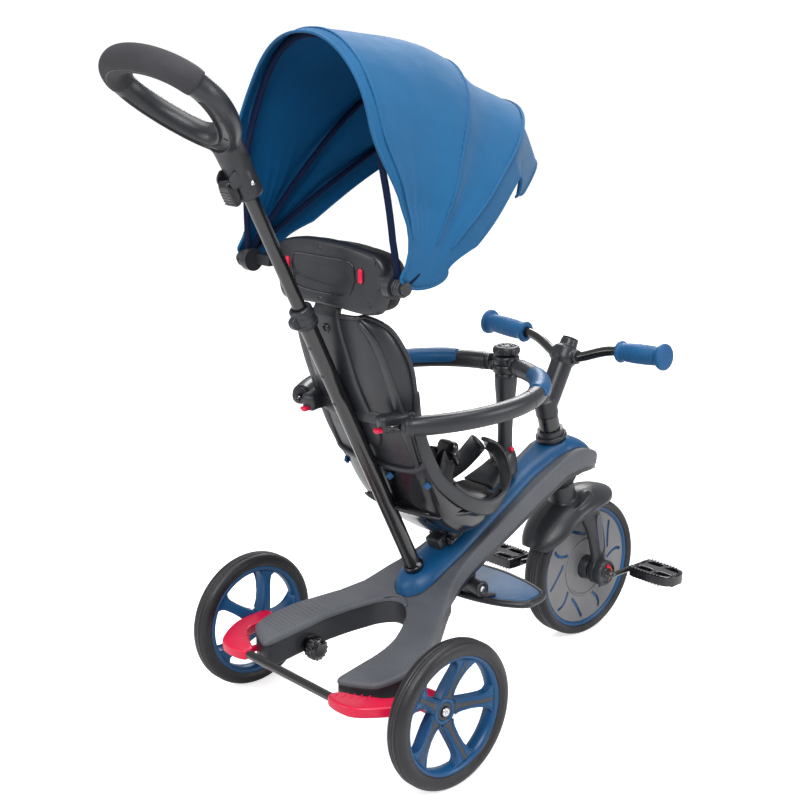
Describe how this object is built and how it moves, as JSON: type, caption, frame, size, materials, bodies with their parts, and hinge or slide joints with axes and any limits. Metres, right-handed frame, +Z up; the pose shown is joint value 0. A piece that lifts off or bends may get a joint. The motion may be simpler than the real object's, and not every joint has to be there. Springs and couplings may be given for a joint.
{
  "type": "tricycle",
  "caption": "Children's push tricycle with a Y frame, pedals on the front wheel, bucket seat with safety ring, folding canopy, footrest and a telescopic parent handle",
  "frame": {"origin": "centre of the bounding box in plan, on the ground under the tyres", "axes": "+X forward (the way the rider faces), +Y to the rider's left, +Z up"},
  "size_m": [0.9158, 0.444, 0.9472],
  "materials": {
    "shell_black": "fine grain",
    "deck_grey": "satin with fine cross lines",
    "blue_plastic": "satin",
    "grey_plastic": "fine grain",
    "red_plastic": "glossy",
    "black_steel": "gloss powder coat",
    "steel": "zinc plated",
    "tyre": "smooth with fine grooves",
    "foam": "matt foam",
    "blue_rubber": "soft grip",
    "pad_fabric": "padded liner",
    "strap": "woven webbing",
    "canopy_cloth": "coated woven cloth"
  },
  "bodies": {
    "frame": {"frame_shell": "shell_black", "frame_deck": "deck_grey", "spine_cover": "blue_plastic", "head_bushes": "shell_black", "rear_axles": "steel", "axle_knobs": "shell_black", "fixings": "steel", "footrest_bracket": "shell_black", "push_lower_tube": "black_steel", "push_collar": "shell_black"},
    "push_bar": {"push_upper_tube": "black_steel", "handle_body": "shell_black", "handle_foam": "foam"},
    "handle_lever": {"handle_lever": "shell_black"},
    "push_button": {"push_button": "steel"},
    "rear_wheel_left": {"rear_tyre_left": "tyre", "rear_rim_left": "blue_plastic"},
    "rear_wheel_right": {"rear_tyre_right": "tyre", "rear_rim_right": "blue_plastic"},
    "brake": {"brake_pedals": "red_plastic", "brake_rod": "black_steel"},
    "steering": {"fork": "shell_black", "fork_inlays": "shell_black", "steerer_tube": "black_steel", "hub_caps": "shell_black"},
    "front_wheel": {"front_tyre": "tyre", "front_rim": "blue_plastic", "front_discs": "grey_plastic"},
    "cranks": {"crank_shaft": "black_steel"},
    "pedal_left": {"pedal_left": "shell_black"},
    "pedal_right": {"pedal_right": "shell_black"},
    "freewheel_button": {"freewheel_button": "red_plastic"},
    "handlebar": {"stem": "shell_black", "handlebar_tube": "black_steel", "grips": "blue_rubber"},
    "seat": {"seat_base": "shell_black", "seat_shell": "shell_black", "seat_pad": "pad_fabric", "thigh_guards": "shell_black", "ring_post": "shell_black", "headrest_shell": "shell_black", "headrest_pad": "pad_fabric", "harness": "strap", "canopy_brackets": "shell_black", "canopy_hoop_rear": "shell_black", "canopy_fabric": "canopy_cloth"},
    "seat_lever": {"seat_lever": "grey_plastic"},
    "ring_left": {"ring_left": "shell_black", "ring_pad_left": "blue_plastic"},
    "ring_right": {"ring_right": "shell_black", "ring_pad_right": "blue_plastic"},
    "post_button": {"post_button": "red_plastic"},
    "side_button_left": {"side_button_left": "red_plastic"},
    "side_button_right": {"side_button_right": "red_plastic"},
    "headrest_buttons": {"headrest_buttons": "red_plastic"},
    "canopy_middle": {"canopy_hoop_middle": "shell_black"},
    "canopy_front": {"canopy_hoop_front": "shell_black"},
    "footrest": {"footrest_frame": "shell_black", "footrest_plates": "blue_plastic"}
  },
  "joints": [
    {"name": "steering", "type": "hinge", "parent": "frame", "child": "steering", "pos_m": [0.28199, 0, 0.3], "axis": [-0.2756, 0, 0.9613], "range_deg": [-35, 35]},
    {"name": "front_wheel_spin", "type": "hinge", "parent": "steering", "child": "front_wheel", "pos_m": [0.3459, 0, 0.112], "axis": [0, 1, 0], "continuous": true},
    {"name": "crank_spin", "type": "hinge", "parent": "steering", "child": "cranks", "pos_m": [0.3459, 0, 0.112], "axis": [0, 1, 0], "continuous": true},
    {"name": "pedal_spin_left", "type": "hinge", "parent": "cranks", "child": "pedal_left", "pos_m": [0.2859, 0.111, 0.112], "axis": [0, 1, 0], "continuous": true},
    {"name": "pedal_spin_right", "type": "hinge", "parent": "cranks", "child": "pedal_right", "pos_m": [0.4059, -0.111, 0.112], "axis": [0, 1, 0], "continuous": true},
    {"name": "freewheel_press", "type": "slide", "parent": "steering", "child": "freewheel_button", "axis": [0, -1, 0], "range_m": [-0.0015, 0], "stiffness_N_per_m": 500},
    {"name": "rear_wheel_spin_left", "type": "hinge", "parent": "frame", "child": "rear_wheel_left", "pos_m": [-0.1491, 0.208, 0.1], "axis": [0, 1, 0], "continuous": true},
    {"name": "rear_wheel_spin_right", "type": "hinge", "parent": "frame", "child": "rear_wheel_right", "pos_m": [-0.1491, -0.208, 0.1], "axis": [0, 1, 0], "continuous": true},
    {"name": "brake_press", "type": "hinge", "parent": "frame", "child": "brake", "pos_m": [-0.1491, 0, 0.1], "axis": [0, 1, 0], "range_deg": [-12, 0]},
    {"name": "push_bar_slide", "type": "slide", "parent": "frame", "child": "push_bar", "axis": [-0.4431, 0, 0.8965], "range_m": [-0.09, 0]},
    {"name": "handle_lever_squeeze", "type": "hinge", "parent": "push_bar", "child": "handle_lever", "pos_m": [-0.32252, 0, 0.76857], "axis": [0, 1, 0], "range_deg": [0, 20], "stiffness_Nm_per_rad": 0.3},
    {"name": "push_button_press", "type": "slide", "parent": "frame", "child": "push_button", "axis": [0, -1, 0], "range_m": [-0.002, 0], "stiffness_N_per_m": 500},
    {"name": "handlebar_height", "type": "slide", "parent": "steering", "child": "handlebar", "axis": [-0.2756, 0, 0.9613], "range_m": [0, 0.03]},
    {"name": "seat_slide", "type": "slide", "parent": "frame", "child": "seat", "axis": [0.9026, 0, 0.4305], "range_m": [0, 0.04]},
    {"name": "seat_lever_swing", "type": "hinge", "parent": "seat", "child": "seat_lever", "pos_m": [0.0369, -0.02, 0.231], "axis": [-0.4305, 0, 0.9026], "range_deg": [-60, 0]},
    {"name": "ring_open_left", "type": "hinge", "parent": "seat", "child": "ring_left", "pos_m": [0.1669, 0, 0.471], "axis": [0, 0, 1], "range_deg": [-45, 0]},
    {"name": "ring_open_right", "type": "hinge", "parent": "seat", "child": "ring_right", "pos_m": [0.1669, 0, 0.471], "axis": [0, 0, 1], "range_deg": [0, 45]},
    {"name": "post_button_press", "type": "slide", "parent": "seat", "child": "post_button", "axis": [0, -1, 0], "range_m": [-0.002, 0], "stiffness_N_per_m": 500},
    {"name": "side_press_left", "type": "slide", "parent": "seat", "child": "side_button_left", "axis": [-1, 0, 0], "range_m": [-0.002, 0], "stiffness_N_per_m": 500},
    {"name": "side_press_right", "type": "slide", "parent": "seat", "child": "side_button_right", "axis": [-1, 0, 0], "range_m": [-0.002, 0], "stiffness_N_per_m": 500},
    {"name": "headrest_press", "type": "slide", "parent": "seat", "child": "headrest_buttons", "axis": [-1, 0, 0], "range_m": [-0.002, 0], "stiffness_N_per_m": 500},
    {"name": "canopy_fold", "type": "hinge", "parent": "seat", "child": "canopy_front", "pos_m": [-0.1821, 0, 0.646], "axis": [0, 1, 0], "range_deg": [-50, 0], "deforming": ["canopy_fabric"]},
    {"name": "canopy_fold_middle", "type": "hinge", "parent": "seat", "child": "canopy_middle", "pos_m": [-0.1821, 0, 0.646], "axis": [0, 1, 0], "range_deg": [-34, 0]},
    {"name": "footrest_fold", "type": "hinge", "parent": "frame", "child": "footrest", "pos_m": [0.0729, 0, 0.16], "axis": [0, 1, 0], "range_deg": [-30, 0]}
  ],
  "couplings": [
    {"joint": "crank_spin", "follows": "front_wheel_spin", "ratio": 1},
    {"joint": "canopy_fold_middle", "follows": "canopy_fold", "ratio": 0.66}
  ]
}
